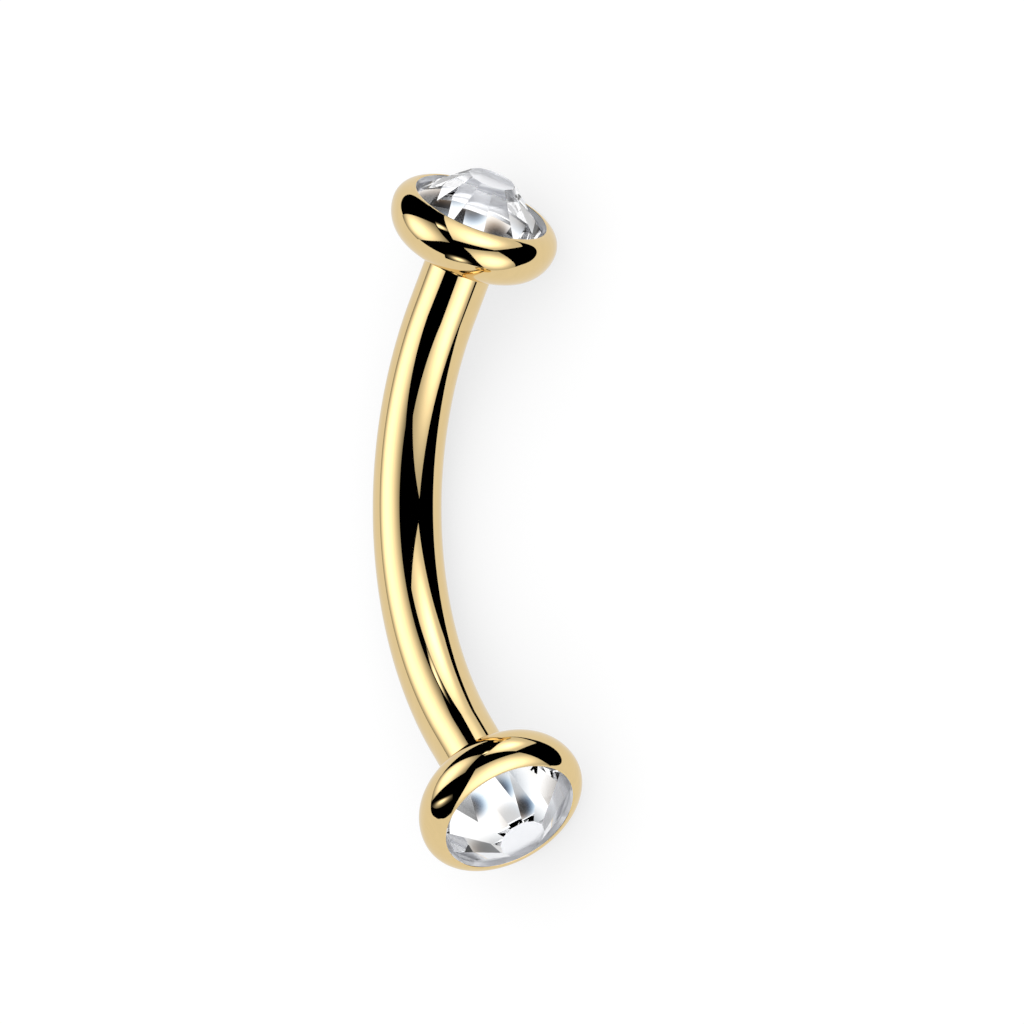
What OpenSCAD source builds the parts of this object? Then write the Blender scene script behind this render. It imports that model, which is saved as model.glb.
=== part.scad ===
// Curved eyebrow barbell: a bent bar, bored and threaded at both ends, and two gem ends that screw in.
// Each gem end is a round cup with a threaded post under it, and a cut stone set in the cup.
// It lies as it would on a table, on the middle of the bar and on the undersides of both cups.
// X runs along the bar's chord, the hollow side of the bend faces -Y, and Z is up.
// The origin is the middle of the base of the box that holds the whole barbell.

/* [Bar] */
// Diameter of the bar, which is 16 gauge
bar_d = 1.2; // [1.1:0.05:1.6]
// Radius of the bend, along the middle of the bar
bend_r = 6.2; // [5:0.1:10]
// Angle that the bar bends through on each side of its middle, in degrees
bend_half_angle = 37.2; // [25:0.1:42]
// Length of the straight stretch at each end
bar_end_len = 0.97; // [0.7:0.01:2]
// Bevel round the outer edge of each end
bar_end_bevel = 0.04; // [0.01:0.01:0.06]

/* [Thread] */
// Length of the threaded post, from the seat to its tip
post_len = 1.3; // [0.9:0.05:1.6]
// Diameter of the post over its thread
post_d = 0.76; // [0.6:0.02:0.8]
// Distance from one turn of the thread to the next
thread_pitch = 0.2; // [0.15:0.01:0.3]
// Depth of the thread, on the post and in the bore
thread_depth = 0.06; // [0.02:0.01:0.08]
// Plain neck between the seat and the first turn of the thread
post_neck_len = 0.1; // [0.05:0.01:0.3]
// Radius of the rounded edge of the post's tip
post_tip_round = 0.12; // [0.05:0.01:0.2]
// Gap between the post and the wall of the bore, all round
bore_gap = 0.02; // [0.01:0.005:0.04]
// Room between the post's tip and the end of the bore's wall
bore_end_room = 0.1; // [0.05:0.01:0.3]
// Bevel round the mouth of the bore
bore_bevel = 0.04; // [0.01:0.01:0.06]
// Angle of the cone at the bottom of the bore, across its point, in degrees
drill_angle = 118; // [90:1:150]

/* [Cup] */
// Width by which the flat seat under the cup stands out past the bar, all round
seat_margin = 0.06; // [0.02:0.01:0.2]
// Height of the cup's widest line above the seat
belly_h = 0.71; // [0.7:0.01:1]
// Radius of the round from the cup's underside to its widest line
lower_round = 0.66; // [0.5:0.01:0.7]
// Radius of the round from the widest line to the lip
upper_round = 0.37; // [0.3:0.01:0.45]
// Width of the rim, seen from above, from the mouth to the widest line
rim_w = 0.3; // [0.25:0.01:0.5]
// Width of the flat land on the lip
lip_w = 0.04; // [0.02:0.01:0.1]
// Amount by which the pocket widens from the stone's girdle to the mouth, on each side
mouth_flare = 0.03; // [0:0.01:0.08]

/* [Stone] */
// Diameter of the stone over the corners of its girdle
stone_d = 2.3; // [2:0.1:4]
// Diameter of the flat table over its corners
table_d = 0.84; // [0.6:0.02:1.4]
// Number of facets round the crown, and of corners on the table
facets = 12; // [8:1:16]
// Height of the crown, from the girdle to the table
crown_h = 0.65; // [0.4:0.01:0.9]
// Height of the upright side under the crown, down to the stone's flat back
side_h = 0.38; // [0.05:0.01:0.4]
// Depth of the girdle below the lip
stone_sink = 0.1; // [0.02:0.01:0.2]
// Gap between the stone and its pocket
stone_gap = 0.02; // [0.01:0.005:0.04]
// Turn of each stone in its cup, in degrees
stone_turn = 0; // [0:0.5:30]

/* [Hidden] */
$fn = 96;

gold = [0.86, 0.69, 0.38];
crystal = [0.93, 0.95, 0.98];

// Sides of the barbell along X: the upper end is the one that is worn on top
UPPER = 1;
LOWER = -1;

bar_r = bar_d / 2;
// Overrun of a cut past the face that it opens
cut_over = 0.1;
// Lap of each straight end into the bend, which makes them one solid
end_lap = 0.002;

// Centre of the bar's end face, along the chord and towards the hollow side, from the bar's middle
end_along = bend_r * sin(bend_half_angle) + bar_end_len * cos(bend_half_angle);
end_across = bend_r * (1 - cos(bend_half_angle)) + bar_end_len * sin(bend_half_angle);

post_r = post_d / 2;
post_core_r = post_r - thread_depth;
thread_turns = floor((post_len - post_neck_len - post_tip_round) / thread_pitch);
bore_r = post_r + bore_gap;
bore_depth = post_len + bore_end_room;
bore_turns = floor((bore_depth - post_neck_len - bore_bevel) / thread_pitch);
drill_tip_h = bore_r / tan(drill_angle / 2);
// Height to which the post's core runs up into the bottom of the cup
post_root = 0.1;

stone_r = stone_d / 2;
table_r = table_d / 2;
pocket_r = stone_r + stone_gap;
mouth_r = pocket_r + mouth_flare;
cup_r = mouth_r + rim_w;
seat_r = bar_r + seat_margin;

// Centres of the two rounds, which meet upright at the cup's widest line
lower_c = cup_r - lower_round;
upper_c = cup_r - upper_round;
lip_z = belly_h + sqrt(upper_round ^ 2 - (mouth_r + lip_w - upper_c) ^ 2);

// The cone under the cup runs from the seat's edge and touches the lower round at cone_end
seat_to_c = norm([lower_c - seat_r, belly_h]);
cone_len = sqrt(seat_to_c ^ 2 - lower_round ^ 2);
cone_rise = atan2(belly_h, lower_c - seat_r) - asin(lower_round / seat_to_c);
cone_end = [seat_r + cone_len * cos(cone_rise), cone_len * sin(cone_rise)];

girdle_z = lip_z - stone_sink;
stone_back_z = girdle_z - side_h;
table_z = girdle_z + crown_h;
pocket_floor_z = stone_back_z - stone_gap;

// At rest the bend leans until the bar's middle and both cups touch the table together.
// lean_a, lean_b and lean_d are the cup's, the round's and the end's distances in that balance.
lean_a = lower_c * sin(bend_half_angle);
lean_b = lower_round - bar_r;
lean_d = bend_r * (1 - cos(bend_half_angle)) + (bar_end_len + belly_h) * sin(bend_half_angle);
lean_sum = lean_d ^ 2 + lean_a ^ 2;
lean = asin((lean_d * lean_b + sqrt((lean_d * lean_b) ^ 2 - lean_sum * (lean_b ^ 2 - lower_c ^ 2))) / lean_sum);

// Reach of a gem end past its seat, in a direction whose cosine with its axis is c
function cup_reach(c) = belly_h * c + upper_c * sqrt(1 - c ^ 2) + upper_round;
function stone_reach(c) = table_z * c + table_r * sqrt(1 - c ^ 2);
function end_reach(c) = max(cup_reach(c), stone_reach(c));

hollow_side_y = end_across * cos(lean) + end_reach(sin(bend_half_angle) * cos(lean));
middle_y = (hollow_side_y - bar_r) / 2;

// Lays down what is drawn flat, with the bend in the XY plane and the bar's middle at the origin
module lay_down() {
    translate([0, middle_y, bar_r])
        rotate([-lean, 0, 0])
            children();
}

// Places what is drawn with its seat at the origin and its axis up on one end of the flat bar
module at_end(side) {
    mirror([side == UPPER ? 0 : 1, 0, 0])
        translate([end_along, -end_across, 0])
            rotate([0, 0, -bend_half_angle])
                rotate([0, 90, 0])
                    rotate([0, 0, 90])
                        children();
}

// Outline of a row of V-shaped turns between two radii, going down from z_top
function turns_outline(turns, r_from, r_to, z_top) = [
    for (i = [0 : 2 * turns])
        [i % 2 == 0 ? r_from : r_to, z_top - i * thread_pitch / 2]
];

module bar_end() {
    rotate_extrude()
        polygon([
            [0, -bar_end_len - end_lap],
            [bar_r, -bar_end_len - end_lap],
            [bar_r, -bar_end_bevel],
            [bar_r - bar_end_bevel, 0],
            [0, 0]
        ]);
}

module threaded_bore() {
    rotate_extrude()
        polygon(concat(
            [[0, cut_over], [bore_r + bore_bevel + cut_over, cut_over], [bore_r, -bore_bevel]],
            turns_outline(bore_turns, bore_r, bore_r + thread_depth, -bore_bevel - post_neck_len),
            [[bore_r, -bore_depth], [0, -bore_depth - drill_tip_h]]
        ));
}

module bar() {
    color(gold)
        lay_down()
            difference() {
                union() {
                    translate([0, -bend_r, 0])
                        rotate_extrude(start = 90 - bend_half_angle, angle = 2 * bend_half_angle)
                            translate([bend_r, 0])
                                circle(r = bar_r);
                    for (side = [UPPER, LOWER])
                        at_end(side)
                            bar_end();
                }
                for (side = [UPPER, LOWER])
                    at_end(side)
                        threaded_bore();
            }
}

// Half outline of the cup's outside: a shallow cone, two rounds and the flat lip
module cup_outline() {
    polygon([[0, 0], [seat_r, 0], cone_end, [lower_c, belly_h], [upper_c, belly_h], [upper_c, lip_z], [0, lip_z]]);
    intersection() {
        translate([lower_c, belly_h])
            circle(r = lower_round);
        square([cup_r, belly_h]);
    }
    intersection() {
        translate([upper_c, belly_h])
            circle(r = upper_round);
        square([cup_r, lip_z]);
    }
}

// Half outline of the flat-bottomed pocket that the stone sits in
module pocket_outline() {
    polygon([
        [0, pocket_floor_z],
        [pocket_r, pocket_floor_z],
        [pocket_r, girdle_z],
        [mouth_r, lip_z],
        [mouth_r, lip_z + cut_over],
        [0, lip_z + cut_over]
    ]);
}

// Half outline of the post: a neck, the turns of the thread and a rounded tip
module post_outline() {
    tip_c = [post_core_r - post_tip_round, post_tip_round - post_len];
    difference() {
        polygon(concat(
            [[0, post_root], [post_core_r, post_root]],
            turns_outline(thread_turns, post_core_r, post_r, -post_neck_len),
            [[post_core_r, -post_len], [0, -post_len]]
        ));
        difference() {
            translate([tip_c.x, -post_len - cut_over])
                square([post_tip_round + cut_over, post_tip_round + cut_over]);
            translate(tip_c)
                circle(r = post_tip_round);
        }
    }
}

module setting(side) {
    color(gold)
        lay_down()
            at_end(side) {
                rotate_extrude()
                    difference() {
                        cup_outline();
                        pocket_outline();
                    }
                rotate_extrude()
                    post_outline();
            }
}

// Corners of the stone on one level, the first of them towards the outer side of the bend
function stone_ring(r, z) = [
    for (i = [0 : facets - 1])
        let (angle = stone_turn + 360 / facets * i)
            [r * cos(angle), r * sin(angle), z]
];

// Band of four-sided faces between the rings of corners that start at low and at high
function stone_band(low, high) = [
    for (i = [0 : facets - 1])
        let (next = (i + 1) % facets)
            [high + i, high + next, low + next, low + i]
];

// Stone with a flat table, a ring of crown facets, an upright side and a flat back
module stone(side) {
    rings = [stone_ring(table_r, table_z), stone_ring(stone_r, girdle_z), stone_ring(stone_r, stone_back_z)];
    table = [for (i = [facets - 1 : -1 : 0]) i];
    back = [for (i = [0 : facets - 1]) 2 * facets + i];
    color(crystal)
        lay_down()
            at_end(side)
                polyhedron(
                    concat(rings[0], rings[1], rings[2]),
                    concat([table, back], stone_band(facets, 0), stone_band(2 * facets, facets))
                );
}

module upper_setting() { setting(UPPER); }
module upper_stone() { stone(UPPER); }
module lower_setting() { setting(LOWER); }
module lower_stone() { stone(LOWER); }

bar();
upper_setting();
upper_stone();
lower_setting();
lower_stone();
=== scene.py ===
import logging
import math
from dataclasses import dataclass, field
from enum import Enum

import bmesh
import bpy
import numpy as np
from mathutils import Euler, Matrix, Vector


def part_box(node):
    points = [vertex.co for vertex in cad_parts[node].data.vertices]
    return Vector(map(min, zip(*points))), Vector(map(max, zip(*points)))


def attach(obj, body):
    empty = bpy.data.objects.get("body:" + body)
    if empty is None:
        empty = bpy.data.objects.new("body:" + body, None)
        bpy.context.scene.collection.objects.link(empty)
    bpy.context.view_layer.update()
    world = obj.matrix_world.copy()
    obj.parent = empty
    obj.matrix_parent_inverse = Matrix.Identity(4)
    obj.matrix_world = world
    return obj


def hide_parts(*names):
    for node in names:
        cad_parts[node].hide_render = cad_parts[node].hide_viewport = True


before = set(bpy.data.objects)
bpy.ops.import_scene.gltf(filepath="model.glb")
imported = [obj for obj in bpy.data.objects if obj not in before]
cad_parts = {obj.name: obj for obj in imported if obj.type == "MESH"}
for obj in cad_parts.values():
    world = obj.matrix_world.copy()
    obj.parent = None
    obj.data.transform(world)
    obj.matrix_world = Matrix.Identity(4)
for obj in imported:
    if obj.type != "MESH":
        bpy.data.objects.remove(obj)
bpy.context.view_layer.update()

log = logging.getLogger("barbell")

MM = 0.001
# Faces round a turned surface, the same on every skin so that neighbouring rings weld point to point
ROUND_STEPS = 128
# Points closer than this are one point
WELD = 1e-7
# Faces that meet at less than this angle, in radians, are one flat facet
FLAT_ANGLE = math.radians(0.1)
# Cosine under which a facet counts as upright or as facing backwards
UPRIGHT = 0.01
# Noise values at which the fine marks begin and end
MARK_RANGE = (0.35, 0.7)
MARK_DETAIL = 4.0


class Side(Enum):
    """Which end of the barbell, as the sign of its place along X."""

    UPPER = 1
    LOWER = -1

    @property
    def word(self) -> str:
        """The end's name, as the CAD nodes and bodies spell it."""
        return self.name.lower()


class Slot(Enum):
    """Material slots of the record."""

    GOLD = "gold_steel"
    CRYSTAL = "crystal"


class Tree:
    """A geometry or shader node tree under construction, with short calls for its usual nodes."""

    def __init__(self, tree: bpy.types.NodeTree) -> None:
        """Wraps an existing tree.

        Args:
            tree: the node tree that the calls add to.
        """
        self.tree = tree

    def node(self, kind: str, **settings: object) -> bpy.types.Node:
        """Adds a node.

        Args:
            kind: the node's type name.
            **settings: properties to set on it.

        Returns:
            The new node.
        """
        made = self.tree.nodes.new(kind)
        for name, value in settings.items():
            setattr(made, name, value)
        return made

    def link(self, source: bpy.types.NodeSocket, target: bpy.types.NodeSocket) -> None:
        """Links one socket to another."""
        self.tree.links.new(source, target)

    def feed(self, target: bpy.types.NodeSocket, value: object) -> None:
        """Links a socket, or sets its value where a plain value is given."""
        if isinstance(value, bpy.types.NodeSocket):
            self.link(value, target)
        else:
            target.default_value = value

    def math(self, operation: str, *values: object, clamp: bool = False) -> bpy.types.NodeSocket:
        """Adds a Math node.

        Args:
            operation: the node's operation.
            *values: sockets or numbers for its inputs.
            clamp: whether the result is kept between 0 and 1.

        Returns:
            The result socket.
        """
        made = self.node("ShaderNodeMath", operation=operation, use_clamp=clamp)
        for socket, value in zip(made.inputs, values):
            self.feed(socket, value)
        return made.outputs[0]

    def vector(self, operation: str, *values: object, scale: object | None = None) -> bpy.types.Node:
        """Adds a Vector Math node.

        Args:
            operation: the node's operation.
            *values: sockets or vectors for its inputs.
            scale: a socket or number for its scale, where the operation has one.

        Returns:
            The node, whose result is a vector or a value.
        """
        made = self.node("ShaderNodeVectorMath", operation=operation)
        for socket, value in zip(made.inputs, values):
            self.feed(socket, value)
        if scale is not None:
            self.feed(made.inputs["Scale"], scale)
        return made


class GeometryRecipe:
    """A Geometry Nodes tree with named inputs that is run once and turned into a plain mesh."""

    def __init__(self, name: str, inputs: dict[str, str]) -> None:
        """Starts the tree.

        Args:
            name: the tree's name.
            inputs: each input's name and socket type.
        """
        self.tree = bpy.data.node_groups.new(name, "GeometryNodeTree")
        face = self.tree.interface
        face.new_socket(name="Geometry", in_out="INPUT", socket_type="NodeSocketGeometry")
        for label, kind in inputs.items():
            face.new_socket(name=label, in_out="INPUT", socket_type=kind)
        face.new_socket(name="Geometry", in_out="OUTPUT", socket_type="NodeSocketGeometry")
        self.make = Tree(self.tree)
        self.given = self.make.node("NodeGroupInput")
        self.result = self.make.node("NodeGroupOutput")

    def value(self, label: str) -> bpy.types.NodeSocket:
        """The socket that carries an input's value."""
        return self.given.outputs[label]

    def finish(self, geometry: bpy.types.NodeSocket) -> None:
        """Ends the tree with one weld, plain meshes and the finish's material.

        Args:
            geometry: the socket with the whole geometry.
        """
        weld = self.make.node("GeometryNodeMergeByDistance")
        weld.inputs["Distance"].default_value = WELD
        real = self.make.node("GeometryNodeRealizeInstances")
        dress = self.make.node("GeometryNodeSetMaterial")
        self.make.link(geometry, real.inputs[0])
        self.make.link(real.outputs[0], weld.inputs[0])
        self.make.link(weld.outputs[0], dress.inputs["Geometry"])
        self.make.link(self.value("Material"), dress.inputs["Material"])
        self.make.link(dress.outputs[0], self.result.inputs[0])

    def run(self, values: dict[str, object], seed_mesh: bpy.types.Mesh | None = None) -> bpy.types.Mesh:
        """Runs the tree.

        Args:
            values: a value for each named input.
            seed_mesh: the mesh that the tree starts from, where it needs one.

        Returns:
            The resulting mesh.
        """
        mesh = seed_mesh or bpy.data.meshes.new("seed")
        carrier = bpy.data.objects.new("carrier", mesh)
        bpy.context.scene.collection.objects.link(carrier)
        modifier = carrier.modifiers.new("recipe", "NODES")
        modifier.node_group = self.tree
        for item in self.tree.interface.items_tree:
            if item.in_out == "INPUT" and item.name in values:
                modifier[item.identifier] = values[item.name]
        bpy.context.view_layer.update()
        seen = carrier.evaluated_get(bpy.context.evaluated_depsgraph_get())
        made = bpy.data.meshes.new_from_object(seen)
        carrier.modifiers.clear()
        bpy.data.objects.remove(carrier)
        bpy.data.meshes.remove(mesh)
        return made


def grid_over(recipe: GeometryRecipe) -> tuple[bpy.types.Node, bpy.types.NodeSocket, bpy.types.NodeSocket]:
    """Adds a unit grid whose points are then moved by a rule.

    Args:
        recipe: the tree, with the inputs Around and Along for the grid's steps.

    Returns:
        The grid node, the turn round the axis in radians, and the share of the way along it.
    """
    make = recipe.make
    grid = make.node("GeometryNodeMeshGrid")
    make.link(make.math("ADD", recipe.value("Around"), 1.0), grid.inputs["Vertices X"])
    make.link(make.math("ADD", recipe.value("Along"), 1.0), grid.inputs["Vertices Y"])
    place = make.node("GeometryNodeInputPosition")
    parts = make.node("ShaderNodeSeparateXYZ")
    make.link(place.outputs[0], parts.inputs[0])
    turn = make.math("MULTIPLY", make.math("ADD", parts.outputs["X"], 0.5), math.tau)
    share = make.math("ADD", parts.outputs["Y"], 0.5)
    return grid, turn, share


def moved_grid(recipe: GeometryRecipe, grid: bpy.types.Node, xyz: tuple[object, object, object]) -> None:
    """Moves the grid's points and ends the recipe.

    Args:
        recipe: the tree.
        grid: its grid node.
        xyz: sockets for the new coordinates.
    """
    make = recipe.make
    join = make.node("ShaderNodeCombineXYZ")
    for socket, value in zip(join.inputs, xyz):
        make.feed(socket, value)
    move = make.node("GeometryNodeSetPosition")
    make.link(grid.outputs["Mesh"], move.inputs["Geometry"])
    make.link(join.outputs[0], move.inputs["Position"])
    recipe.finish(move.outputs[0])


def bent_skin_recipe() -> GeometryRecipe:
    """The skin of a round bar along an arc: the arc's middle is at the origin and it bends towards -Y.

    Returns:
        The recipe, open at both ends.
    """
    recipe = GeometryRecipe("Bent bar skin", {
        "Bar Radius": "NodeSocketFloat",
        "Bend Radius": "NodeSocketFloat",
        "Half Angle": "NodeSocketFloat",
        "Around": "NodeSocketInt",
        "Along": "NodeSocketInt",
        "Material": "NodeSocketMaterial",
    })
    make = recipe.make
    grid, turn, share = grid_over(recipe)
    from_middle = make.math("SUBTRACT", make.math("MULTIPLY", share, 2.0), 1.0)
    along = make.math("MULTIPLY", from_middle, recipe.value("Half Angle"))
    out = make.math("ADD", recipe.value("Bend Radius"),
                    make.math("MULTIPLY", recipe.value("Bar Radius"), make.math("COSINE", turn)))
    x = make.math("MULTIPLY", out, make.math("SINE", along))
    ahead = make.math("MULTIPLY", out, make.math("COSINE", along))
    y = make.math("SUBTRACT", ahead, recipe.value("Bend Radius"))
    z = make.math("MULTIPLY", recipe.value("Bar Radius"), make.math("SINE", turn))
    moved_grid(recipe, grid, (x, y, z))
    return recipe


# How far a turn's sides would rise past its crest, and how softly the crest cuts them off
CREST_RISE = 1.25
CREST_SOFTNESS = 0.15


def thread_skin_recipe() -> GeometryRecipe:
    """The skin of a threaded post or bore. Its V-shaped turns climb a helix and fade out at both ends.

    Returns:
        The recipe, open at both ends, with its top at z = Top.
    """
    recipe = GeometryRecipe("Screw thread skin", {
        "Radius": "NodeSocketFloat",
        "Turn Height": "NodeSocketFloat",
        "Pitch": "NodeSocketFloat",
        "Top": "NodeSocketFloat",
        "Length": "NodeSocketFloat",
        "Around": "NodeSocketInt",
        "Along": "NodeSocketInt",
        "Material": "NodeSocketMaterial",
    })
    make = recipe.make
    grid, turn, share = grid_over(recipe)
    depth = make.math("MULTIPLY", make.math("SUBTRACT", 1.0, share), recipe.value("Length"))
    turns_down = make.math("DIVIDE", depth, recipe.value("Pitch"))
    saw = make.math("FRACT", make.math("SUBTRACT", turns_down, make.math("DIVIDE", turn, -math.tau)))
    swing = make.math("SUBTRACT", make.math("MULTIPLY", saw, 2.0), 1.0)
    vee = make.math("SUBTRACT", 1.0, make.math("ABSOLUTE", swing))
    crest = make.math("SMOOTH_MIN", make.math("MULTIPLY", vee, CREST_RISE), 1.0, CREST_SOFTNESS)
    from_top = make.math("DIVIDE", depth, recipe.value("Pitch"), clamp=True)
    left = make.math("SUBTRACT", recipe.value("Length"), depth)
    from_end = make.math("DIVIDE", left, recipe.value("Pitch"), clamp=True)
    fade = make.math("MINIMUM", from_top, from_end)
    height = make.math("MULTIPLY", recipe.value("Turn Height"), make.math("MULTIPLY", crest, fade))
    out = make.math("ADD", recipe.value("Radius"), height)
    x = make.math("MULTIPLY", out, make.math("COSINE", turn))
    y = make.math("MULTIPLY", out, make.math("SINE", turn))
    z = make.math("SUBTRACT", recipe.value("Top"), depth)
    moved_grid(recipe, grid, (x, y, z))
    return recipe


def round_repeat_recipe() -> GeometryRecipe:
    """Copies of a wedge set round the Z axis and welded into one closed shape.

    Returns:
        The recipe, which starts from the wedge's mesh.
    """
    recipe = GeometryRecipe("Wedges round an axis", {
        "Count": "NodeSocketInt",
        "Material": "NodeSocketMaterial",
    })
    make = recipe.make
    spots = make.node("GeometryNodeMeshLine")
    spots.inputs["Offset"].default_value = (0.0, 0.0, 0.0)
    make.link(recipe.value("Count"), spots.inputs["Count"])
    which = make.node("GeometryNodeInputIndex")
    step = make.math("DIVIDE", math.tau, recipe.value("Count"))
    spin = make.node("ShaderNodeCombineXYZ")
    make.link(make.math("MULTIPLY", which.outputs[0], step), spin.inputs["Z"])
    place = make.node("GeometryNodeInstanceOnPoints")
    make.link(spots.outputs[0], place.inputs["Points"])
    make.link(recipe.given.outputs["Geometry"], place.inputs["Instance"])
    make.link(spin.outputs[0], place.inputs["Rotation"])
    recipe.finish(place.outputs[0])
    return recipe


class Profile:
    """Half outline of a turned shape, as radius and height, drawn point after point."""

    HOLD = 0.004 * MM
    MOST_HOLD = 0.25

    def __init__(self, radius: float, height: float) -> None:
        """Starts the outline at a point."""
        self.points: list[tuple[float, float]] = [(radius, height)]

    def line(self, radius: float, height: float, steps: int = 1) -> "Profile":
        """Draws a straight stretch, with a close point at each end that keeps its shading flat.

        Args:
            radius: radius at its end.
            height: height at its end.
            steps: number of equal steps between the close points.

        Returns:
            The profile, so that calls can follow each other.
        """
        r0, z0 = self.points[-1]
        length = math.hypot(radius - r0, height - z0)
        hold = min(self.HOLD / length, self.MOST_HOLD)
        for i in range(steps + 1):
            t = hold + (1 - 2 * hold) * i / steps
            self.points.append((r0 + (radius - r0) * t, z0 + (height - z0) * t))
        self.points.append((radius, height))
        return self

    def arc(self, centre: tuple[float, float], radius: float, start: float, end: float,
            steps: int) -> "Profile":
        """Draws an arc, with angles in degrees from the outward direction.

        Args:
            centre: radius and height of its centre.
            radius: the arc's own radius.
            start: angle of its first point, which is where the profile stands.
            end: angle of its last point.
            steps: number of steps.

        Returns:
            The profile.
        """
        for i in range(1, steps + 1):
            angle = math.radians(start + (end - start) * i / steps)
            self.points.append((centre[0] + radius * math.cos(angle), centre[1] + radius * math.sin(angle)))
        return self


def turned_mesh(profile: Profile, name: str) -> bpy.types.Mesh:
    """Turns a profile round the Z axis.

    Args:
        profile: the half outline. A point at radius 0 becomes a pole.
        name: the mesh's name.

    Returns:
        The skin.
    """
    angles = np.arange(ROUND_STEPS) * math.tau / ROUND_STEPS
    around = np.stack([np.cos(angles), np.sin(angles)], axis=1)
    points: list[tuple[float, float, float]] = []
    rings: list[list[int]] = []
    for radius, height in profile.points:
        first = len(points)
        if radius < WELD:
            points.append((0.0, 0.0, height))
            rings.append([first])
            continue
        points.extend((radius * c, radius * s, height) for c, s in around)
        rings.append(list(range(first, first + ROUND_STEPS)))
    faces: list[tuple[int, ...]] = []
    for low, high in zip(rings, rings[1:]):
        for i in range(ROUND_STEPS):
            j = (i + 1) % ROUND_STEPS
            corners = (low[i % len(low)], low[j % len(low)], high[j % len(high)], high[i % len(high)])
            faces.append(tuple(dict.fromkeys(corners)))
    mesh = bpy.data.meshes.new(name)
    mesh.from_pydata(points, [], faces)
    return mesh


def welded(name: str, skins: list[tuple[bpy.types.Mesh, Matrix]], smooth: bool) -> bpy.types.Mesh:
    """Joins skins into one closed mesh whose faces point outwards.

    Args:
        name: the new mesh's name.
        skins: each skin with its place. The skins are used up.
        smooth: whether the faces are shaded smooth.

    Returns:
        The closed mesh.
    """
    shape = bmesh.new()
    for skin, place in skins:
        skin.transform(place)
        shape.from_mesh(skin)
        bpy.data.meshes.remove(skin)
    bmesh.ops.remove_doubles(shape, verts=shape.verts, dist=WELD)
    bmesh.ops.recalc_face_normals(shape, faces=shape.faces)
    open_edges = sum(1 for edge in shape.edges if not edge.is_manifold)
    if open_edges:
        log.warning("%s has %d open edges", name, open_edges)
    for face in shape.faces:
        face.smooth = smooth
    mesh = bpy.data.meshes.new(name)
    shape.to_mesh(mesh)
    shape.free()
    return mesh


def turned_points(mesh: bpy.types.Mesh, place: Matrix) -> tuple[np.ndarray, np.ndarray]:
    """Measures a mesh's points from a turned shape's axis.

    Args:
        mesh: the mesh in the row frame.
        place: the place of the shape's seat there.

    Returns:
        Each point's distance from the axis, and its height above the seat.
    """
    points = np.empty(len(mesh.vertices) * 3, np.float32)
    mesh.vertices.foreach_get("co", points)
    back = np.array(place.inverted())
    local = points.reshape(-1, 3) @ back[:3, :3].T + back[:3, 3]
    return np.hypot(local[:, 0], local[:, 1]), local[:, 2]


def mark_points(mesh: bpy.types.Mesh, name: str, inside: np.ndarray) -> None:
    """Stores a mark on a mesh's points, which the finish reads.

    Args:
        mesh: the mesh.
        name: the mark's name.
        inside: whether each point carries it.
    """
    mesh.attributes.new(name, "FLOAT", "POINT").data.foreach_set("value", inside.astype(np.float32))


@dataclass(frozen=True)
class ScrewThread:
    """The thread shared by the posts and the bores, in metres."""

    post_radius: float = 0.38 * MM
    pitch: float = 0.2 * MM
    height: float = 0.06 * MM
    neck: float = 0.1 * MM
    gap: float = 0.02 * MM
    steps_per_turn: int = 16

    @property
    def core_radius(self) -> float:
        """Radius of the post between its turns."""
        return self.post_radius - self.height

    @property
    def bore_radius(self) -> float:
        """Radius of the bore between its grooves."""
        return self.post_radius + self.gap

    def skin(self, recipe: GeometryRecipe, radius: float, top: float, length: float,
             material: bpy.types.Material) -> bpy.types.Mesh:
        """Makes the skin of a threaded stretch.

        Args:
            recipe: the thread's tree.
            radius: radius under the turns.
            top: height of its upper end.
            length: its length, down from there.
            material: its finish.

        Returns:
            The skin, open at both ends.
        """
        return recipe.run({
            "Radius": radius,
            "Turn Height": self.height,
            "Pitch": self.pitch,
            "Top": top,
            "Length": length,
            "Around": ROUND_STEPS,
            "Along": round(length / self.pitch * self.steps_per_turn),
            "Material": material,
        })


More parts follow.
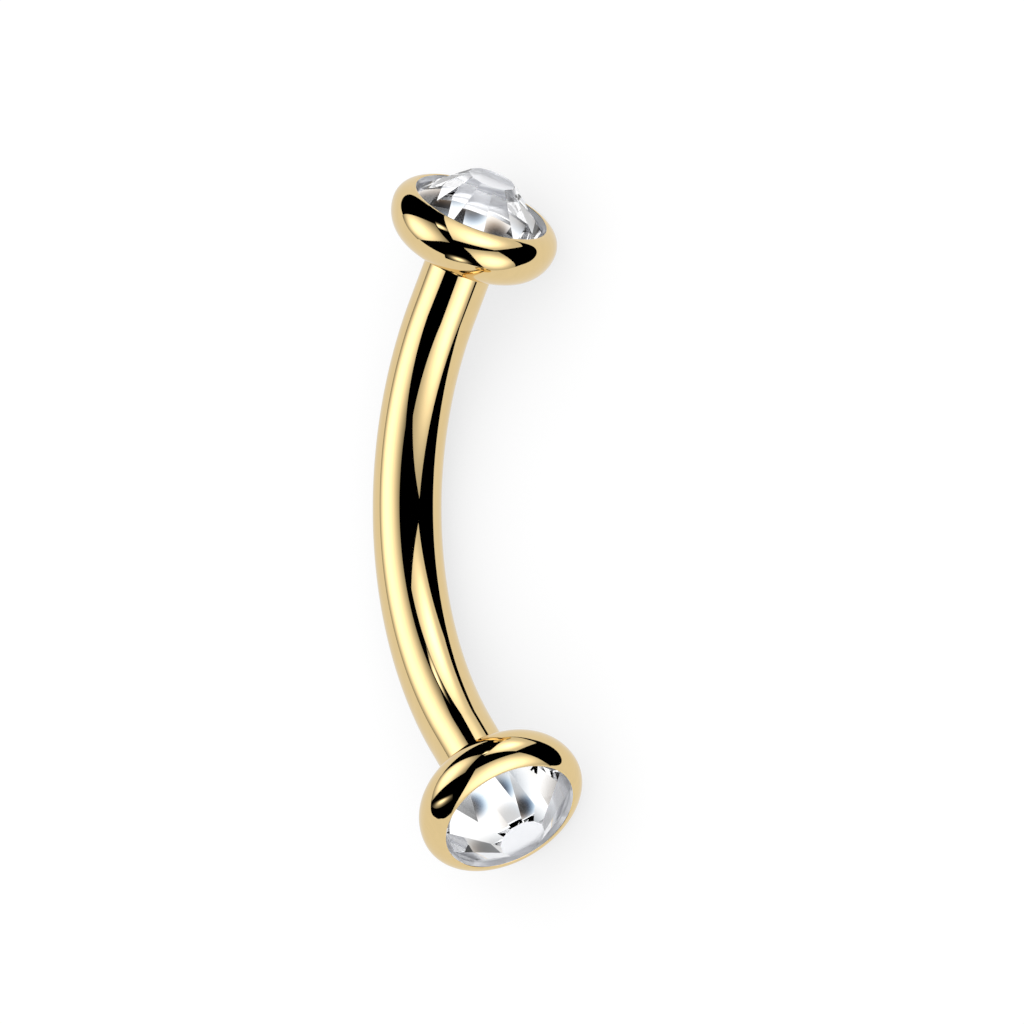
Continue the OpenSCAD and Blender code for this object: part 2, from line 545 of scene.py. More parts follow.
@dataclass(frozen=True)
class BentBar:
    """The bar: a bend with a straight stretch, a rounded edge and a threaded bore at each end, in metres."""

    thread: ScrewThread
    radius: float = 0.6 * MM
    bend_radius: float = 6.2 * MM
    half_angle: float = math.radians(37.2)
    end_length: float = 0.97 * MM
    edge_round: float = 0.04 * MM
    bore_bevel: float = 0.04 * MM
    bore_depth: float = 1.4 * MM
    drill_angle: float = math.radians(118)
    bend_steps: int = 180
    corner_steps: int = 8

    @property
    def end_along(self) -> float:
        """Distance along the chord from the bar's middle to the centre of an end face."""
        return self.bend_radius * math.sin(self.half_angle) + self.end_length * math.cos(self.half_angle)

    @property
    def end_across(self) -> float:
        """Distance towards the hollow side from the bar's middle to the centre of an end face."""
        drop = self.bend_radius * (1 - math.cos(self.half_angle))
        return drop + self.end_length * math.sin(self.half_angle)

    def flat_end(self, side: Side) -> Matrix:
        """Works out the place of an end's seat while the bend lies flat.

        Args:
            side: which end.

        Returns:
            The place, with X outwards from the bend and Z out of the bar.
        """
        sin, cos, sign = math.sin(self.half_angle), math.cos(self.half_angle), side.value
        outwards = Vector((sign * sin, cos, 0))
        along = Vector((sign * cos, -sin, 0))
        centre = Vector((sign * self.end_along, -self.end_across, 0))
        axes = Matrix((outwards, along.cross(outwards), along)).transposed()
        return Matrix.Translation(centre) @ axes.to_4x4()

    def end_profile(self) -> Profile:
        """Draws the half outline of an end.

        Returns:
            The outline, from the bend, over the edge and to the top of the bore's thread.
        """
        outer = self.radius - self.edge_round
        profile = Profile(self.radius, -self.end_length)
        profile.line(self.radius, -self.edge_round, steps=6)
        profile.arc((outer, -self.edge_round), self.edge_round, 0, 90, self.corner_steps)
        profile.line(self.thread.bore_radius + self.bore_bevel, 0)
        profile.line(self.thread.bore_radius, -self.bore_bevel)
        profile.line(self.thread.bore_radius, -self.bore_bevel - self.thread.neck)
        return profile

    def bore_floor(self) -> Profile:
        """Half outline of the cone that the drill leaves at the bottom of the bore."""
        drop = self.thread.bore_radius / math.tan(self.drill_angle / 2)
        return Profile(self.thread.bore_radius, -self.bore_depth).line(0, -self.bore_depth - drop)

    def mesh(self, lay: Matrix, bend: GeometryRecipe, turns: GeometryRecipe,
             material: bpy.types.Material) -> bpy.types.Mesh:
        """Builds the whole bar in the row frame.

        Args:
            lay: the move from the flat bend to the way that the barbell lies.
            bend: the tree for the bend's skin.
            turns: the tree for the threads.
            material: the bar's finish.

        Returns:
            One closed mesh.
        """
        skins = [(bend.run({
            "Bar Radius": self.radius,
            "Bend Radius": self.bend_radius,
            "Half Angle": self.half_angle,
            "Around": ROUND_STEPS,
            "Along": self.bend_steps,
            "Material": material,
        }), lay)]
        top = -self.bore_bevel - self.thread.neck
        for side in Side:
            place = lay @ self.flat_end(side)
            skins.append((turned_mesh(self.end_profile(), "end"), place))
            bore = self.thread.skin(turns, self.thread.bore_radius, top, self.bore_depth + top, material)
            skins.append((bore, place))
            skins.append((turned_mesh(self.bore_floor(), "floor"), place))
        mesh = welded("bar", skins, smooth=True)
        in_bores = np.zeros(len(mesh.vertices), bool)
        for side in Side:
            out, height = turned_points(mesh, lay @ self.flat_end(side))
            in_bores |= (out < self.thread.bore_radius + self.thread.height + WELD) & (height < top)
        mark_points(mesh, "thread", in_bores)
        return mesh


@dataclass(frozen=True)
class GemSetting:
    """A cup with its threaded post, in metres, drawn from the seat upwards along its own axis."""

    thread: ScrewThread
    seat_radius: float = 0.66 * MM
    radius: float = 1.5 * MM
    belly: float = 0.71 * MM
    lower_round: float = 0.66 * MM
    upper_round: float = 0.37 * MM
    mouth_radius: float = 1.2 * MM
    pocket_radius: float = 1.17 * MM
    land: float = 0.04 * MM
    edge_round: float = 0.012 * MM
    post_length: float = 1.3 * MM
    tip_round: float = 0.12 * MM
    tip_steps: int = 8
    lower_steps: int = 36
    upper_steps: int = 24
    lip_steps: int = 6
    # Degrees of the upper round that a bevel takes up beside the land
    land_bevel: float = 3.0
    # Share of the lip's rounded edge that is bare of gold
    bare_edge: float = 0.25

    @property
    def lower_centre(self) -> tuple[float, float]:
        """Centre of the round under the cup's widest line."""
        return self.radius - self.lower_round, self.belly

    @property
    def upper_centre(self) -> tuple[float, float]:
        """Centre of the round above the cup's widest line."""
        return self.radius - self.upper_round, self.belly

    @property
    def land_angle(self) -> float:
        """Angle on the upper round at which the land on the lip begins, in degrees."""
        reach = self.mouth_radius + self.land - self.upper_centre[0]
        return math.degrees(math.acos(reach / self.upper_round))

    @property
    def lip(self) -> float:
        """Height of the lip above the seat."""
        return self.belly + self.upper_round * math.sin(math.radians(self.land_angle))

    def cone_start(self) -> tuple[float, float, float]:
        """Works out where the shallow cone under the cup meets the lower round.

        Returns:
            The radius and height there, and the cone's rise in degrees.
        """
        run, rise = self.lower_centre[0] - self.seat_radius, self.belly
        reach = math.hypot(run, rise)
        length = math.sqrt(reach ** 2 - self.lower_round ** 2)
        slope = math.atan2(rise, run) - math.asin(self.lower_round / reach)
        return self.seat_radius + length * math.cos(slope), length * math.sin(slope), math.degrees(slope)

    def tip_profile(self) -> Profile:
        """Draws the half outline of the post's rounded tip.

        Returns:
            The outline, up to the thread.
        """
        core = self.thread.core_radius
        flat = core - self.tip_round
        profile = Profile(0, -self.post_length).line(flat, -self.post_length, steps=2)
        return profile.arc((flat, self.tip_round - self.post_length), self.tip_round, -90, 0, self.tip_steps)

    def cup_profile(self, stone: "CutStone") -> Profile:
        """Draws the half outline of the cup.

        Args:
            stone: the stone that the pocket is cut for.

        Returns:
            The outline, from the post's neck, under and round the cup, over the lip and into the pocket.
        """
        core, edge = self.thread.core_radius, self.edge_round
        cone_r, cone_z, rise = self.cone_start()
        profile = Profile(core, -self.thread.neck).line(core, 0)
        profile.line(self.seat_radius, 0, steps=2)
        profile.line(cone_r, cone_z, steps=4)
        profile.arc(self.lower_centre, self.lower_round, rise - 90, 0, self.lower_steps)
        bevel_start = self.land_angle - self.land_bevel
        profile.arc(self.upper_centre, self.upper_round, 0, bevel_start, self.upper_steps)
        profile.line(self.mouth_radius + self.land, self.lip)
        profile.line(self.mouth_radius + edge, self.lip)
        profile.arc((self.mouth_radius + edge, self.lip - edge), edge, 90, 180, self.lip_steps)
        profile.line(self.pocket_radius, stone.girdle, steps=2)
        profile.line(self.pocket_radius, stone.pocket_floor, steps=3)
        profile.line(0, stone.pocket_floor, steps=4)
        return profile

    def mesh(self, side: Side, place: Matrix, stone: "CutStone", turns: GeometryRecipe,
             material: bpy.types.Material) -> bpy.types.Mesh:
        """Builds the cup and post in the row frame.

        Args:
            side: which end it is.
            place: its seat's place in the row frame.
            stone: the stone that it holds.
            turns: the tree for the thread.
            material: its finish.

        Returns:
            One closed mesh, whose points are marked where the steel is bare and where the thread is.
        """
        length = self.post_length - self.tip_round - self.thread.neck
        skins = [
            (turned_mesh(self.tip_profile(), "tip"), place),
            (self.thread.skin(turns, self.thread.core_radius, -self.thread.neck, length, material), place),
            (turned_mesh(self.cup_profile(stone), "cup"), place),
        ]
        mesh = welded(f"{side.word}_setting", skins, smooth=True)
        out, height = turned_points(mesh, place)
        in_mouth = out < self.mouth_radius + self.bare_edge * self.edge_round
        mark_points(mesh, "bare_steel", in_mouth & (height > stone.pocket_floor - WELD))
        mark_points(mesh, "thread", (out < self.thread.post_radius + WELD) & (height < -self.thread.neck))
        return mesh


@dataclass(frozen=True)
class CutStone:
    """A round stone, in metres: a flat table, a ring of crown facets, and a silvered side and flat back."""

    lip: float
    radius: float = 1.15 * MM
    table_radius: float = 0.42 * MM
    facets: int = 12
    crown: float = 0.65 * MM
    side_height: float = 0.38 * MM
    sink: float = 0.1 * MM
    gap: float = 0.02 * MM

    @property
    def girdle(self) -> float:
        """Height of the girdle above the cup's seat."""
        return self.lip - self.sink

    @property
    def back(self) -> float:
        """Height of the flat back."""
        return self.girdle - self.side_height

    @property
    def pocket_floor(self) -> float:
        """Height of the pocket's floor, one gap under the back."""
        return self.back - self.gap

    def wedge(self) -> bpy.types.Mesh:
        """Makes one facet's share of the stone.

        Returns:
            A slice of the table, a crown facet, the side under it and a slice of the back.
        """
        step = math.tau / self.facets
        table = self.girdle + self.crown
        points = [(0, 0, table), (0, 0, self.back)]
        corners = ((self.table_radius, table), (self.radius, self.girdle), (self.radius, self.back))
        for radius, height in corners:
            points += [(radius * math.cos(angle), radius * math.sin(angle), height) for angle in (0, step)]
        mesh = bpy.data.meshes.new("wedge")
        mesh.from_pydata(points, [], [(0, 2, 3), (2, 4, 5, 3), (4, 6, 7, 5), (6, 1, 7)])
        return mesh

    def mesh(self, side: Side, place: Matrix, repeat: GeometryRecipe,
             material: bpy.types.Material) -> bpy.types.Mesh:
        """Builds the stone in the row frame.

        Args:
            side: which end it is for.
            place: its cup's place in the row frame.
            repeat: the tree that sets wedges round an axis.
            material: its finish.

        Returns:
            One closed mesh with flat facets, whose back and upright side take the second material.
        """
        whole = repeat.run({"Count": self.facets, "Material": material}, self.wedge())
        mesh = welded(f"{side.word}_stone", [(whole, place)], smooth=False)
        shape = bmesh.new()
        shape.from_mesh(mesh)
        flat = [edge for edge in shape.edges if edge.calc_face_angle() < FLAT_ANGLE]
        bmesh.ops.dissolve_edges(shape, edges=flat, use_verts=True)
        forwards = place.to_3x3().col[2]
        for face in shape.faces:
            face.material_index = int(face.normal.dot(forwards) < UPRIGHT)
        shape.to_mesh(mesh)
        shape.free()
        return mesh


def surface_material(name: str) -> tuple[bpy.types.Material, Tree, bpy.types.Node]:
    """Starts the material of a solid surface.

    Args:
        name: its name.

    Returns:
        The material, its tree and its shader.
    """
    made = bpy.data.materials.new(name)
    made.use_nodes = True
    return made, Tree(made.node_tree), made.node_tree.nodes["Principled BSDF"]


def glowing_material(name: str) -> tuple[bpy.types.Material, Tree, bpy.types.Node]:
    """Starts a material that only glows.

    Args:
        name: its name.

    Returns:
        The material, its tree and its glow.
    """
    made = bpy.data.materials.new(name)
    made.use_nodes = True
    made.node_tree.nodes.clear()
    make = Tree(made.node_tree)
    glow = make.node("ShaderNodeEmission")
    out = make.node("ShaderNodeOutputMaterial")
    make.link(glow.outputs[0], out.inputs["Surface"])
    return made, make, glow


def hairline_group() -> bpy.types.NodeTree:
    """The fine drawn marks that the gold and the foil carry, as a shader group.

    Returns:
        The group, which gives a roughness and a tone that follow fine marks, drawn out along X.
    """
    group = bpy.data.node_groups.new("Hairline polish", "ShaderNodeTree")
    face = group.interface
    for label in ("Marks Per Metre", "Stretch", "Smoothest", "Roughest", "Darkest Tone"):
        face.new_socket(name=label, in_out="INPUT", socket_type="NodeSocketFloat")
    for label in ("Roughness", "Tone"):
        face.new_socket(name=label, in_out="OUTPUT", socket_type="NodeSocketFloat")
    make = Tree(group)
    given = make.node("NodeGroupInput").outputs
    result = make.node("NodeGroupOutput").inputs
    place = make.node("ShaderNodeTexCoord")
    stretch = make.node("ShaderNodeCombineXYZ")
    make.link(make.math("DIVIDE", 1.0, given["Stretch"]), stretch.inputs["X"])
    stretch.inputs["Y"].default_value = 1.0
    stretch.inputs["Z"].default_value = 1.0
    drawn = make.vector("MULTIPLY", place.outputs["Object"], stretch.outputs[0])
    marks = make.node("ShaderNodeTexNoise")
    marks.inputs["Detail"].default_value = MARK_DETAIL
    make.link(drawn.outputs[0], marks.inputs["Vector"])
    make.link(given["Marks Per Metre"], marks.inputs["Scale"])
    spreads = (("Roughness", given["Smoothest"], given["Roughest"]), ("Tone", given["Darkest Tone"], 1.0))
    for label, low, high in spreads:
        spread = make.node("ShaderNodeMapRange")
        make.link(marks.outputs["Fac"], spread.inputs["Value"])
        spread.inputs["From Min"].default_value, spread.inputs["From Max"].default_value = MARK_RANGE
        make.feed(spread.inputs["To Min"], low)
        make.feed(spread.inputs["To Max"], high)
        make.link(spread.outputs["Result"], result[label])
    return group


@dataclass(frozen=True)
class PolishedGold:
    """Mirror-polished pale gold plating, satin on the threads, with bare steel inside the cups."""

    colour: tuple[float, float, float] = (0.93, 0.707, 0.358)
    steel: tuple[float, float, float] = (0.86, 0.87, 0.9)
    steel_dullness: float = 0.3
    satin: float = 0.25
    marks_per_metre: float = 9000.0
    stretch: float = 10.0
    smoothest: float = 0.012
    roughest: float = 0.045
    darkest_tone: float = 0.97

    def material(self, marks: bpy.types.NodeTree) -> bpy.types.Material:
        """Makes the material.

        Args:
            marks: the shared group of fine marks.

        Returns:
            The material.
        """
        made, make, shader = surface_material("polished_gold")
        shader.inputs["Metallic"].default_value = 1.0
        polish = make.node("ShaderNodeGroup", node_tree=marks)
        settings = (self.marks_per_metre, self.stretch, self.smoothest, self.roughest, self.darkest_tone)
        for socket, value in zip(polish.inputs, settings):
            socket.default_value = value
        thread = make.node("ShaderNodeAttribute", attribute_name="thread")
        bare = make.node("ShaderNodeAttribute", attribute_name="bare_steel")
        satin = make.math("MULTIPLY_ADD", thread.outputs["Fac"], self.satin, polish.outputs["Roughness"])
        rough = make.math("MULTIPLY_ADD", bare.outputs["Fac"], self.steel_dullness, satin)
        make.link(rough, shader.inputs["Roughness"])
        metal = make.node("ShaderNodeMix", data_type="RGBA")
        make.link(bare.outputs["Fac"], metal.inputs["Factor"])
        metal.inputs["A"].default_value = (*self.colour, 1)
        metal.inputs["B"].default_value = (*self.steel, 1)
        toned = make.vector("SCALE", metal.outputs["Result"], scale=polish.outputs["Tone"])
        make.link(toned.outputs[0], shader.inputs["Base Color"])
        return made


@dataclass(frozen=True)
class CutCrystal:
    """Clear colourless crystal with the faint waves that polishing leaves on a facet."""

    index: float = 1.55
    waves_per_metre: float = 1500.0
    wave_strength: float = 0.04
    wave_depth: float = 0.001 * MM

    def material(self) -> bpy.types.Material:
        """Makes the material.

        Returns:
            The material.
        """
        made, make, shader = surface_material("cut_crystal")
        shader.inputs["Base Color"].default_value = (1, 1, 1, 1)
        shader.inputs["Roughness"].default_value = 0.0
        shader.inputs["IOR"].default_value = self.index
        shader.inputs["Transmission Weight"].default_value = 1.0
        place = make.node("ShaderNodeTexCoord")
        waves = make.node("ShaderNodeTexNoise")
        waves.inputs["Scale"].default_value = self.waves_per_metre
        waves.inputs["Detail"].default_value = 0.0
        make.link(place.outputs["Object"], waves.inputs["Vector"])
        bump = make.node("ShaderNodeBump")
        bump.inputs["Strength"].default_value = self.wave_strength
        bump.inputs["Distance"].default_value = self.wave_depth
        make.link(waves.outputs["Fac"], bump.inputs["Height"])
        make.link(bump.outputs["Normal"], shader.inputs["Normal"])
        return made


@dataclass(frozen=True)
class SilveredBack:
    """The mirror foil on a stone's back and upright side, a little cloudy in places."""

    colour: tuple[float, float, float] = (0.95, 0.95, 0.97)
    marks_per_metre: float = 2500.0
    stretch: float = 1.0
    darkest_tone: float = 0.96

    def material(self, marks: bpy.types.NodeTree) -> bpy.types.Material:
        """Makes the material.

        Args:
            marks: the shared group of fine marks.

        Returns:
            The material.
        """
        made, make, shader = surface_material("silvered_back")
        shader.inputs["Metallic"].default_value = 1.0
        shader.inputs["Roughness"].default_value = 0.0
        clouds = make.node("ShaderNodeGroup", node_tree=marks)
        clouds.inputs["Marks Per Metre"].default_value = self.marks_per_metre
        clouds.inputs["Stretch"].default_value = self.stretch
        clouds.inputs["Darkest Tone"].default_value = self.darkest_tone
        toned = make.vector("SCALE", self.colour, scale=clouds.outputs["Tone"])
        make.link(toned.outputs[0], shader.inputs["Base Color"])
        return made


def add_stage_piece(name: str, mesh: bpy.types.Mesh, material: bpy.types.Material, place: Matrix,
                    unseen_by: tuple[str, ...]) -> bpy.types.Object:
    """Puts a piece of the studio in the scene, apart from the barbell.

    Args:
        name: its name.
        mesh: its mesh.
        material: its finish.
        place: its place in the row frame.
        unseen_by: the kinds of ray that pass it by.

    Returns:
        The new object.
    """
    mesh.materials.append(material)
    made = bpy.data.objects.new(name, mesh)
    bpy.context.scene.collection.objects.link(made)
    made.matrix_world = place
    for kind in unseen_by:
        setattr(made, f"visible_{kind}", False)
    return made


def rectangle(name: str, right: float, up: float, left: float, down: float) -> bpy.types.Mesh:
    """Makes a flat rectangle.

    Args:
        name: the mesh's name.
        right: reach along X.
        up: reach along Y.
        left: reach against X.
        down: reach against Y.

    Returns:
        The mesh.
    """
    mesh = bpy.data.meshes.new(name)
    corners = [(-left, -down, 0), (right, -down, 0), (right, up, 0), (-left, up, 0)]
    mesh.from_pydata(corners, [], [(0, 1, 2, 3)])
    return mesh


@dataclass(frozen=True)
class StudioCard:
    """A glowing card that the metal mirrors, placed in the view's axes.

    The axes are right, up and nearer. Lengths are in millimetres from the bar's middle, and turns in degrees.
    """

    name: str
    centre: tuple[float, float, float]
    turn: tuple[float, float, float]
    reach: tuple[float, float, float, float]
    level: float
    peak: float
    spot: tuple[float, float] = (0.0, 0.0)
    spot_size: float = 5.0
    on_stones: bool = False

    def material(self) -> bpy.types.Material:
        """Makes the card's glow.

        Returns:
            The material, brightest at a soft spot that fades as a bell curve does.
        """
        made, make, glow = glowing_material(self.name)
        place = make.node("ShaderNodeTexCoord")
        spot = (self.spot[0] * MM, self.spot[1] * MM, 0)
        gap = make.vector("DISTANCE", place.outputs["Object"], spot)
        far = make.math("DIVIDE", gap.outputs["Value"], self.spot_size * MM)
        fall = make.math("EXPONENT", make.math("DIVIDE", make.math("MULTIPLY", far, far), -2.0))
        make.link(make.math("MULTIPLY_ADD", fall, self.peak, self.level), glow.inputs["Strength"])
        return made

    def build(self, view: Matrix, metal: bpy.types.Collection) -> None:
        """Makes the card, hidden from the camera and the floor.

        Args:
            view: the view's axes, with the bar's middle as their origin.
            metal: the metal pieces, the only ones it lights unless the stones' faces mirror it too.
        """
        mesh = rectangle(self.name, *(value * MM for value in self.reach))
        turn = Euler([math.radians(angle) for angle in self.turn], "XYZ").to_matrix().to_4x4()
        place = view @ Matrix.Translation(Vector(self.centre) * MM) @ turn
        unseen_by = ("camera", "diffuse", "shadow")
        card = add_stage_piece(self.name, mesh, self.material(), place, unseen_by)
        if not self.on_stones:
            card.light_linking.receiver_collection = metal


@dataclass(frozen=True)
class Flag:
    """A soft dark flag that hangs in a light tent.

    Its place is a turn round the direction to the camera and a tilt from it, and its angles are in degrees.
    """

    turn: float
    tilt: float
    reach: float
    darkness: float

    @property
    def direction(self) -> Vector:
        """Direction from the tent's middle, in the view's axes."""
        turn, tilt = math.radians(self.turn), math.radians(self.tilt)
        return Vector((math.sin(tilt) * math.cos(turn), math.sin(tilt) * math.sin(turn), math.cos(tilt)))


@dataclass(frozen=True)
class LightTent:
    """A small glowing ball round one stone, with dark flags, that only the light through the stones sees.

    A stone spreads white light a little, so red and blue see the flags on either side of where green does.
    """

    name: str
    flags: tuple[Flag, ...]
    level: float = 1.28
    radius: float = 5.6 * MM
    colour_spread: float = 0.013 * MM
    # How a flag fades outwards: the power of the distance, in reaches, and the number that divides it
    edge_power: float = 4.0
    edge_softness: float = 4.0
    subdivisions: int = 5

    def flag_group(self) -> bpy.types.NodeTree:
        """Makes the light at a place on the tent, as a shader group.

        Returns:
            The group, in which each flag dims the light round its own place.
        """
        group = bpy.data.node_groups.new(f"{self.name}_flags", "ShaderNodeTree")
        group.interface.new_socket(name="Level", in_out="INPUT", socket_type="NodeSocketFloat")
        group.interface.new_socket(name="Place", in_out="INPUT", socket_type="NodeSocketVector")
        group.interface.new_socket(name="Light", in_out="OUTPUT", socket_type="NodeSocketFloat")
        make = Tree(group)
        given = make.node("NodeGroupInput").outputs
        light = given["Level"]
        for flag in self.flags:
            gap = make.vector("DISTANCE", given["Place"], flag.direction * self.radius)
            far = make.math("DIVIDE", gap.outputs["Value"], math.radians(flag.reach) * self.radius)
            steep = make.math("POWER", far, self.edge_power)
            fall = make.math("EXPONENT", make.math("DIVIDE", steep, -self.edge_softness))
            light = make.math("MULTIPLY", light, make.math("MULTIPLY_ADD", fall, -flag.darkness, 1.0))
        make.link(light, make.node("NodeGroupOutput").inputs["Light"])
        return group

    def material(self) -> bpy.types.Material:
        """Makes the tent's glow, one colour of light after the other.

        Returns:
            The material.
        """
        made, make, glow = glowing_material(self.name)
        place = make.node("ShaderNodeTexCoord")
        colour = make.node("ShaderNodeCombineColor")
        group = self.flag_group()
        for channel, shift in zip(("Red", "Green", "Blue"), (-self.colour_spread, 0.0, self.colour_spread)):
            moved = make.vector("ADD", place.outputs["Object"], (shift, shift, 0.0))
            light = make.node("ShaderNodeGroup", node_tree=group)
            light.inputs["Level"].default_value = self.level
            make.link(moved.outputs[0], light.inputs["Place"])
            make.link(light.outputs["Light"], colour.inputs[channel])
        make.link(colour.outputs["Color"], glow.inputs["Color"])
        return made

    def build(self, view: Matrix, middle: Vector) -> None:
        """Makes the tent, hidden from the camera, from reflections and from the floor.

        Args:
            view: the view's axes.
            middle: the middle of the stone's girdle, in the row frame.
        """
        mesh = bpy.data.meshes.new(self.name)
        shape = bmesh.new()
        bmesh.ops.create_icosphere(shape, subdivisions=self.subdivisions, radius=self.radius)
        shape.to_mesh(mesh)
        shape.free()
        place = Matrix.Translation(middle) @ view.to_3x3().to_4x4()
        unseen_by = ("camera", "diffuse", "glossy", "shadow")
        add_stage_piece(self.name, mesh, self.material(), place, unseen_by)


@dataclass(frozen=True)
class Studio:
    """The camera, the pale floor and the lights, in metres.

    Right, up and toward are the view's axes in the row frame, and toward points to the camera.
    """

    right: Vector = field(default_factory=lambda: Vector((-0.0456, -0.8692, -0.4923)))
    up: Vector = field(default_factory=lambda: Vector((0.9838, -0.1246, 0.1289)))
    toward: Vector = field(default_factory=lambda: Vector((-0.1734, -0.4784, 0.8608)))
    aim_right: float = 1.83 * MM
    aim_up: float = 0.395 * MM
    frame_width: float = 17.8 * MM
    distance: float = 0.6
    # Millimetres, as the camera wants it
    sensor: float = 36.0
    nearest: float = 0.01
    farthest: float = 10.0
    clear_bounces: int = 24
    mirror_bounces: int = 12
    floor_half: float = 0.5
    floor_tone: float = 0.3
    floor_glow: float = 0.72
    floor_roughness: float = 0.9
    room_light: float = 1.08
    cards: tuple[StudioCard, ...] = (
        StudioCard("left_card", (-15.8, 4.6, 3.8), (-144, 47, -159),
                   (13.6, 8.1, 13.6, 8.1), 0.00, 1.81,
                   (-0.6, -0.6), 7.3),
        StudioCard("upper_right_card", (7.8, 10.6, 5.8), (-142, -54, -120),
                   (8.9, 7.6, 8.9, 7.6), 0.68, 1.56,
                   (2.9, 2.6), 3.1),
        StudioCard("lower_right_card", (11.2, -11.2, 11.9), (150, -3, -162),
                   (10.3, 15.5, 10.3, 15.5), 0.44, 1.51,
                   (2.0, 0.7), 6.6),
        StudioCard("upper_spot_card", (-3.0, 13.8, 9.9), (-147, 35, -171),
                   (1.7, 2.5, 1.7, 2.5), 0.00, 1.97,
                   (0.7, -0.8), 1.1),
        StudioCard("lower_spot_card", (-8.1, -9.0, 10.8), (63, 30, 162),
                   (3.9, 8.5, 3.9, 8.5), 0.0, 1.78,
                   (-0.6, -5.6), 1.3),
        StudioCard("back_card", (0.3, -0.1, -5.8), (-16, -12, -27),
                   (32.9, 148.5, 32.9, 148.5), 0.8, 0.0,
                   on_stones=True),
    )
    tents: dict[Side, LightTent] = field(default_factory=lambda: {
        Side.UPPER: LightTent("upper_tent", (
            Flag(55, 145, 2.6, 0.97),
            Flag(38, 141, 1.9, 0.97),
            Flag(32, 140, 2.2, 0.97),
            Flag(19, 127, 2.4, 0.95),
            Flag(94, 138, 2.6, 0.95),
            Flag(104, 121, 2.6, 0.9),
            Flag(30, 112, 3, 0.75),
            Flag(49, 89, 2.6, 0.95),
            Flag(71, 145.5, 1.9, 0.85),
            Flag(83, 140, 2.2, 0.95),
            Flag(111, 144, 3, 0.95),
            Flag(-77, 19, 2.2, 0.9),
            Flag(143, 13, 2.4, 0.97),
            Flag(99, 136, 2.2, 0.5),
            Flag(110, 119, 3.2, 0.6),
            Flag(70, 114, 3.2, 0.2),
            Flag(147, 75, 8, 0.8),
        )),
        Side.LOWER: LightTent("lower_tent", (
            Flag(-91, 87, 3, 0.96),
            Flag(-52, 68, 6.1, 0.27),
            Flag(-72, 105, 3.7, 0.6),
            Flag(-25, 118, 5, 0.82),
            Flag(-137, 118, 3.5, 0.77),
            Flag(-40, 112, 5.5, 0.79),
            Flag(-35, 90, 6.6, 0.5),
            Flag(135, 28, 23.3, 0.91),
            Flag(-111, 87, 5.7, 0.81),
            Flag(-52, 105, 1.7, 0.9),
            Flag(-28, 92, 2.5, 0.85),
            Flag(-87, 104, 5, 0.82),
            Flag(-70, 108, 1.5, 0.92),
            Flag(-60, 112, 2.2, 0.45),
        )),
    })

    def view_axes(self, middle: Vector) -> Matrix:
        """Joins the view's axes.

        Args:
            middle: the bar's middle, which becomes their origin.

        Returns:
            The axes' place in the row frame.
        """
        axes = Matrix((self.right, self.up, self.toward)).transposed()
        return Matrix.Translation(middle) @ axes.to_4x4()

    def camera(self, middle: Vector) -> None:
        """Sets the camera at the photograph's angle.

        Args:
            middle: the bar's middle.
        """
        data = bpy.data.cameras.new("camera")
        data.sensor_width = self.sensor
        data.lens = self.sensor * self.distance / self.frame_width
        data.clip_start = self.nearest
        data.clip_end = self.farthest
        made = bpy.data.objects.new("camera", data)
        bpy.context.scene.collection.objects.link(made)
        back = Matrix.Translation((self.aim_right, self.aim_up, self.distance))
        made.matrix_world = self.view_axes(middle) @ back
        bpy.context.scene.camera = made

    def floor(self) -> None:
        """Lays the pale floor, which is lit from within so that shadows on it stay faint."""
        paint, _, shader = surface_material("pale_floor")
        shader.inputs["Base Color"].default_value = (self.floor_tone, self.floor_tone, self.floor_tone, 1)
        shader.inputs["Roughness"].default_value = self.floor_roughness
        shader.inputs["Specular IOR Level"].default_value = 0.0
        shader.inputs["Emission Color"].default_value = (1, 1, 1, 1)
        shader.inputs["Emission Strength"].default_value = self.floor_glow
        mesh = rectangle("floor", *[self.floor_half] * 4)
        add_stage_piece("floor", mesh, paint, Matrix.Identity(4), ("glossy", "transmission"))

    def world(self) -> None:
        """Gives the room an even light, which only the floor catches, and sets how light is followed.

        The metal and the stones have their own lights.
        """
        room = bpy.data.worlds.new("room")
        room.use_nodes = True
        room.node_tree.nodes["Background"].inputs["Color"].default_value = (1, 1, 1, 1)
        room.node_tree.nodes["Background"].inputs["Strength"].default_value = self.room_light
        room.cycles_visibility.glossy = False
        room.cycles_visibility.transmission = False
        scene = bpy.context.scene
        scene.world = room
        scene.view_settings.view_transform = "Standard"
        scene.cycles.caustics_reflective = False
        scene.cycles.caustics_refractive = False
        scene.cycles.max_bounces = self.clear_bounces
        scene.cycles.transmission_bounces = self.clear_bounces
        scene.cycles.glossy_bounces = self.mirror_bounces

    def build(self, middle: Vector, stones: dict[Side, Vector], metal: bpy.types.Collection) -> None:
        """Makes the whole studio.

        Args:
            middle: the bar's middle.
            stones: the middle of each stone's girdle.
            metal: the metal pieces.
        """
        self.floor()
        self.world()
        self.camera(middle)
        view = self.view_axes(middle)
        for card in self.cards:
            card.build(view, metal)
        for side, tent in self.tents.items():
            tent.build(view, stones[side])


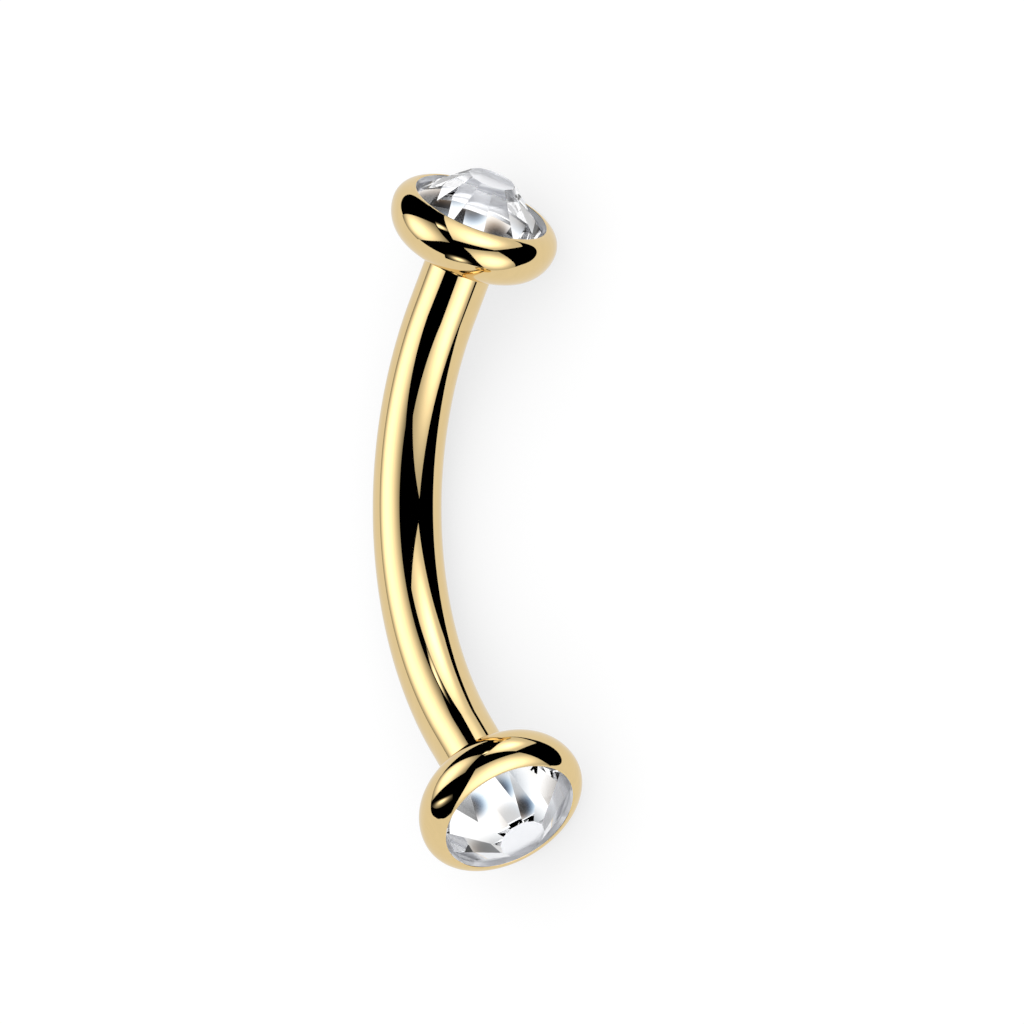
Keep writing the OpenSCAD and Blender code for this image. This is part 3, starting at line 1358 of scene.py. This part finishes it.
def lying_place(bar: BentBar, cup: GemSetting) -> Matrix:
    """Works out how the barbell lies: on the middle of the bar and on both cups at once.

    Args:
        bar: the bar.
        cup: a gem end's cup.

    Returns:
        The move from the flat bend, with the bar's middle at the origin, to the row frame.
    """
    sin, cos = math.sin(bar.half_angle), math.cos(bar.half_angle)
    arm = cup.lower_centre[0]
    a = arm * sin
    b = cup.lower_round - bar.radius
    d = bar.bend_radius * (1 - cos) + (bar.end_length + cup.belly) * sin
    total = d ** 2 + a ** 2
    lean = math.asin((d * b + math.sqrt((d * b) ** 2 - total * (b ** 2 - arm ** 2))) / total)
    c = sin * math.cos(lean)
    reach = cup.belly * c + cup.upper_centre[0] * math.sqrt(1 - c ** 2) + cup.upper_round
    hollow_side = bar.end_across * math.cos(lean) + reach
    middle_y = (hollow_side - bar.radius) / 2
    return Matrix.Translation((0, middle_y, bar.radius)) @ Matrix.Rotation(-lean, 4, "X")


def show_piece(mesh: bpy.types.Mesh, node: str, body: str, slot: Slot,
               *materials: bpy.types.Material) -> bpy.types.Object:
    """Puts a finished mesh in the scene in a CAD node's place.

    Args:
        mesh: the mesh, in the row frame.
        node: the CAD node that it stands for.
        body: the body that it moves with.
        slot: the record's slot for its finish. Not used.
        *materials: its finishes, in the order of its faces' material numbers.

    Returns:
        The new object.
    """
    mesh.materials.clear()
    for material in materials:
        mesh.materials.append(material)
    piece = bpy.data.objects.new(f"{node}_piece", mesh)
    bpy.context.scene.collection.objects.link(piece)
    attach(piece, body)
    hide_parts(node)
    low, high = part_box(node)
    points = np.empty(len(mesh.vertices) * 3, np.float32)
    mesh.vertices.foreach_get("co", points)
    points = points.reshape(-1, 3)
    off = max(np.abs(points.min(0) - low).max(), np.abs(points.max(0) - high).max()) / MM
    log.info("%s: %d faces, corners within %.3f mm of the node's", piece.name, len(mesh.polygons), off)
    return piece


def main() -> None:
    """Builds the barbell and its studio."""
    logging.basicConfig(level=logging.INFO, format="%(name)s: %(message)s")
    thread = ScrewThread()
    bar = BentBar(thread)
    cup = GemSetting(thread)
    stone = CutStone(cup.lip)
    marks = hairline_group()
    gold = PolishedGold().material(marks)
    crystal = CutCrystal().material()
    foil = SilveredBack().material(marks)
    lay = lying_place(bar, cup)
    turns = thread_skin_recipe()
    repeat = round_repeat_recipe()
    girdles: dict[Side, Vector] = {}
    metal = bpy.data.collections.new("metal_pieces")
    bent = bar.mesh(lay, bent_skin_recipe(), turns, gold)
    metal.objects.link(show_piece(bent, "bar", "bar", Slot.GOLD, gold))
    for side in Side:
        place = lay @ bar.flat_end(side)
        girdles[side] = place @ Vector((0, 0, stone.girdle))
        body = f"{side.word}_end"
        setting = cup.mesh(side, place, stone, turns, gold)
        metal.objects.link(show_piece(setting, f"{side.word}_setting", body, Slot.GOLD, gold))
        cut = stone.mesh(side, place, repeat, crystal)
        show_piece(cut, f"{side.word}_stone", body, Slot.CRYSTAL, crystal, foil)
    Studio().build(lay @ Vector((0, 0, 0)), girdles, metal)


if __name__ == "__main__":
    main()
